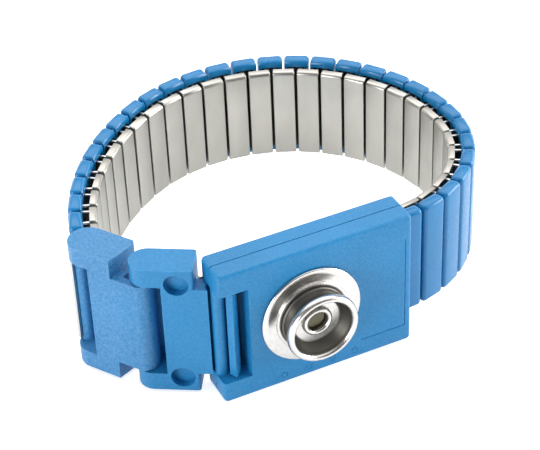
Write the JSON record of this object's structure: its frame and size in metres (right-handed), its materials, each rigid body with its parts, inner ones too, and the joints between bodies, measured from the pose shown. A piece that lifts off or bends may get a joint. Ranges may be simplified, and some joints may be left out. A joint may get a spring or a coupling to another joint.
{
  "type": "esd wrist strap",
  "caption": "Anti-static wrist strap: a loop of capped spring links closed by two hooked clasp links and a flat housing with a male snap stud for a ground cord.",
  "frame": {"origin": "on the snap stud's axis, at the middle of its bead's straight land", "axes": "-Y points out of the snap stud, the way the ground cord's socket leaves; the loop lies behind the housing towards +Y; +Z runs across the band's width, up as the strap stands on the housing's lower edge; +X is to the right as seen from the stud's side, away from the clasp"},
  "size_m": [0.0589, 0.052, 0.02],
  "materials": {
    "housing_front": "satin moulded",
    "housing_back": "satin moulded",
    "bar": "satin moulded",
    "clasp": "satin moulded",
    "end_link": "satin moulded",
    "stud": "bright nickel",
    "eyelet": "bright nickel",
    "skin_plate": "brushed",
    "anchor_sleeve": "brushed",
    "bows": "drawn wire",
    "band_hook": "brushed",
    "band_link": "blue cap over stainless sleeves"
  },
  "bodies": {
    "housing": {"front_shell": "housing_front", "back_shell": "housing_back", "housing_bar_pin": "bar", "snap_stud": "stud", "stud_eyelet": "eyelet", "skin_plate": "skin_plate", "anchor_sleeve": "anchor_sleeve", "anchor_bows": "bows"},
    "clasp": {"clasp_link": "clasp"},
    "end_hinge": {"end_link": "end_link"},
    "band_hook": {"band_hook": "band_hook"},
    "link_00": {"band_link_00": "band_link"},
    "link_01": {"band_link_01": "band_link"},
    "link_02": {"band_link_02": "band_link"},
    "link_03": {"band_link_03": "band_link"},
    "link_04": {"band_link_04": "band_link"},
    "link_05": {"band_link_05": "band_link"},
    "link_06": {"band_link_06": "band_link"},
    "link_07": {"band_link_07": "band_link"},
    "link_08": {"band_link_08": "band_link"},
    "link_09": {"band_link_09": "band_link"},
    "link_10": {"band_link_10": "band_link"},
    "link_11": {"band_link_11": "band_link"},
    "link_12": {"band_link_12": "band_link"},
    "link_13": {"band_link_13": "band_link"},
    "link_14": {"band_link_14": "band_link"},
    "link_15": {"band_link_15": "band_link"},
    "link_16": {"band_link_16": "band_link"},
    "link_17": {"band_link_17": "band_link"},
    "link_18": {"band_link_18": "band_link"},
    "link_19": {"band_link_19": "band_link"},
    "link_20": {"band_link_20": "band_link"},
    "link_21": {"band_link_21": "band_link"},
    "link_22": {"band_link_22": "band_link"},
    "link_23": {"band_link_23": "band_link"},
    "link_24": {"band_link_24": "band_link"},
    "link_25": {"band_link_25": "band_link"},
    "link_26": {"band_link_26": "band_link"},
    "link_27": {"band_link_27": "band_link"},
    "link_28": {"band_link_28": "band_link"}
  },
  "joints": [
    {"name": "clasp_swing", "type": "hinge", "parent": "housing", "child": "clasp", "pos_m": [-0.01135, 0.0058, 0], "axis": [0, 0, 1], "range_deg": [0, 60]},
    {"name": "end_link_swing", "type": "hinge", "parent": "clasp", "child": "end_hinge", "pos_m": [-0.01919, 0.01209, 0], "axis": [0, 0, 1], "range_deg": [0, 60]},
    {"name": "band_hook_swing", "type": "hinge", "parent": "end_hinge", "child": "band_hook", "pos_m": [-0.02359, 0.02023, 0], "axis": [0, 0, 1], "range_deg": [-10, 15]},
    {"name": "band_flex", "type": "hinge", "parent": "housing", "child": "link_00", "pos_m": [0.01502, 0.00708, 0], "axis": [0, 0, 1], "range_deg": [-3, 2.4]},
    {"name": "band_flex_01", "type": "hinge", "parent": "link_00", "child": "link_01", "pos_m": [0.01874, 0.00757, 0], "axis": [0, 0, 1], "range_deg": [-3.3, 2.7]},
    {"name": "band_flex_02", "type": "hinge", "parent": "link_01", "child": "link_02", "pos_m": [0.02228, 0.00882, 0], "axis": [0, 0, 1], "range_deg": [-3.3, 2.7]},
    {"name": "band_flex_03", "type": "hinge", "parent": "link_02", "child": "link_03", "pos_m": [0.02548, 0.01078, 0], "axis": [0, 0, 1], "range_deg": [-3.3, 2.7]},
    {"name": "band_flex_04", "type": "hinge", "parent": "link_03", "child": "link_04", "pos_m": [0.0282, 0.01336, 0], "axis": [0, 0, 1], "range_deg": [-2.1, 2.5]},
    {"name": "band_flex_05", "type": "hinge", "parent": "link_04", "child": "link_05", "pos_m": [0.03033, 0.01645, 0], "axis": [0, 0, 1], "range_deg": [-2.1, 2.5]},
    {"name": "band_flex_06", "type": "hinge", "parent": "link_05", "child": "link_06", "pos_m": [0.03177, 0.01991, 0], "axis": [0, 0, 1], "range_deg": [-2.1, 2.5]},
    {"name": "band_flex_07", "type": "hinge", "parent": "link_06", "child": "link_07", "pos_m": [0.03245, 0.0236, 0], "axis": [0, 0, 1], "range_deg": [-2.1, 2.5]},
    {"name": "band_flex_08", "type": "hinge", "parent": "link_07", "child": "link_08", "pos_m": [0.03241, 0.02742, 0], "axis": [0, 0, 1], "range_deg": [-0.9, 1.1]},
    {"name": "band_flex_09", "type": "hinge", "parent": "link_08", "child": "link_09", "pos_m": [0.03179, 0.03119, 0], "axis": [0, 0, 1], "range_deg": [-0.9, 1.1]},
    {"name": "band_flex_10", "type": "hinge", "parent": "link_09", "child": "link_10", "pos_m": [0.0306, 0.03483, 0], "axis": [0, 0, 1], "range_deg": [-0.9, 1.1]},
    {"name": "band_flex_11", "type": "hinge", "parent": "link_10", "child": "link_11", "pos_m": [0.02887, 0.03823, 0], "axis": [0, 0, 1], "range_deg": [-0.9, 1.1]},
    {"name": "band_flex_12", "type": "hinge", "parent": "link_11", "child": "link_12", "pos_m": [0.02663, 0.04133, 0], "axis": [0, 0, 1], "range_deg": [-0.9, 1.1]},
    {"name": "band_flex_13", "type": "hinge", "parent": "link_12", "child": "link_13", "pos_m": [0.02395, 0.04405, 0], "axis": [0, 0, 1], "range_deg": [-0.9, 1.1]},
    {"name": "band_flex_14", "type": "hinge", "parent": "link_13", "child": "link_14", "pos_m": [0.02088, 0.04633, 0], "axis": [0, 0, 1], "range_deg": [-0.6, 0.6]},
    {"name": "band_flex_15", "type": "hinge", "parent": "link_14", "child": "link_15", "pos_m": [0.0175, 0.04812, 0], "axis": [0, 0, 1], "range_deg": [-0.6, 0.6]},
    {"name": "band_flex_16", "type": "hinge", "parent": "link_15", "child": "link_16", "pos_m": [0.01389, 0.04936, 0], "axis": [0, 0, 1], "range_deg": [-0.6, 0.6]},
    {"name": "band_flex_17", "type": "hinge", "parent": "link_16", "child": "link_17", "pos_m": [0.01013, 0.05004, 0], "axis": [0, 0, 1], "range_deg": [-0.6, 0.6]},
    {"name": "band_flex_18", "type": "hinge", "parent": "link_17", "child": "link_18", "pos_m": [0.00631, 0.05013, 0], "axis": [0, 0, 1], "range_deg": [-0.6, 0.6]},
    {"name": "band_flex_19", "type": "hinge", "parent": "link_18", "child": "link_19", "pos_m": [0.00252, 0.04964, 0], "axis": [0, 0, 1], "range_deg": [-0.6, 0.6]},
    {"name": "band_flex_20", "type": "hinge", "parent": "link_19", "child": "link_20", "pos_m": [-0.00115, 0.04858, 0], "axis": [0, 0, 1], "range_deg": [-2.5, 2.1]},
    {"name": "band_flex_21", "type": "hinge", "parent": "link_20", "child": "link_21", "pos_m": [-0.00462, 0.04697, 0], "axis": [0, 0, 1], "range_deg": [-2.5, 2.1]},
    {"name": "band_flex_22", "type": "hinge", "parent": "link_21", "child": "link_22", "pos_m": [-0.00787, 0.04485, 0], "axis": [0, 0, 1], "range_deg": [-2.5, 2.1]},
    {"name": "band_flex_23", "type": "hinge", "parent": "link_22", "child": "link_23", "pos_m": [-0.0109, 0.04242, 0], "axis": [0, 0, 1], "range_deg": [-2.5, 2.1]},
    {"name": "band_flex_24", "type": "hinge", "parent": "link_23", "child": "link_24", "pos_m": [-0.01365, 0.03968, 0], "axis": [0, 0, 1], "range_deg": [-2.5, 2.1]},
    {"name": "band_flex_25", "type": "hinge", "parent": "link_24", "child": "link_25", "pos_m": [-0.01611, 0.03668, 0], "axis": [0, 0, 1], "range_deg": [-2.6, 3.2]},
    {"name": "band_flex_26", "type": "hinge", "parent": "link_25", "child": "link_26", "pos_m": [-0.01825, 0.03344, 0], "axis": [0, 0, 1], "range_deg": [-2.6, 3.2]},
    {"name": "band_flex_27", "type": "hinge", "parent": "link_26", "child": "link_27", "pos_m": [-0.02005, 0.03, 0], "axis": [0, 0, 1], "range_deg": [-2.6, 3.2]},
    {"name": "band_flex_28", "type": "hinge", "parent": "link_27", "child": "link_28", "pos_m": [-0.02148, 0.02639, 0], "axis": [0, 0, 1], "range_deg": [-2.6, 3.2]}
  ],
  "couplings": [
    {"joint": "band_flex_01", "follows": "band_flex", "ratio": 1},
    {"joint": "band_flex_02", "follows": "band_flex", "ratio": 1},
    {"joint": "band_flex_03", "follows": "band_flex", "ratio": 1},
    {"joint": "band_flex_04", "follows": "band_flex", "ratio": -0.7456},
    {"joint": "band_flex_05", "follows": "band_flex", "ratio": -0.7456},
    {"joint": "band_flex_06", "follows": "band_flex", "ratio": -0.7456},
    {"joint": "band_flex_07", "follows": "band_flex", "ratio": -0.7456},
    {"joint": "band_flex_08", "follows": "band_flex", "ratio": -0.2504},
    {"joint": "band_flex_09", "follows": "band_flex", "ratio": -0.2504},
    {"joint": "band_flex_10", "follows": "band_flex", "ratio": -0.2504},
    {"joint": "band_flex_11", "follows": "band_flex", "ratio": -0.2504},
    {"joint": "band_flex_12", "follows": "band_flex", "ratio": -0.2504},
    {"joint": "band_flex_13", "follows": "band_flex", "ratio": -0.2504},
    {"joint": "band_flex_14", "follows": "band_flex", "ratio": 0.1119},
    {"joint": "band_flex_15", "follows": "band_flex", "ratio": 0.1119},
    {"joint": "band_flex_16", "follows": "band_flex", "ratio": 0.1119},
    {"joint": "band_flex_17", "follows": "band_flex", "ratio": 0.1119},
    {"joint": "band_flex_18", "follows": "band_flex", "ratio": 0.1119},
    {"joint": "band_flex_19", "follows": "band_flex", "ratio": 0.1119},
    {"joint": "band_flex_20", "follows": "band_flex", "ratio": 0.7432},
    {"joint": "band_flex_21", "follows": "band_flex", "ratio": 0.7432},
    {"joint": "band_flex_22", "follows": "band_flex", "ratio": 0.7432},
    {"joint": "band_flex_23", "follows": "band_flex", "ratio": 0.7432},
    {"joint": "band_flex_24", "follows": "band_flex", "ratio": 0.7432},
    {"joint": "band_flex_25", "follows": "band_flex", "ratio": -0.9756},
    {"joint": "band_flex_26", "follows": "band_flex", "ratio": -0.9756},
    {"joint": "band_flex_27", "follows": "band_flex", "ratio": -0.9756},
    {"joint": "band_flex_28", "follows": "band_flex", "ratio": -0.9756}
  ]
}
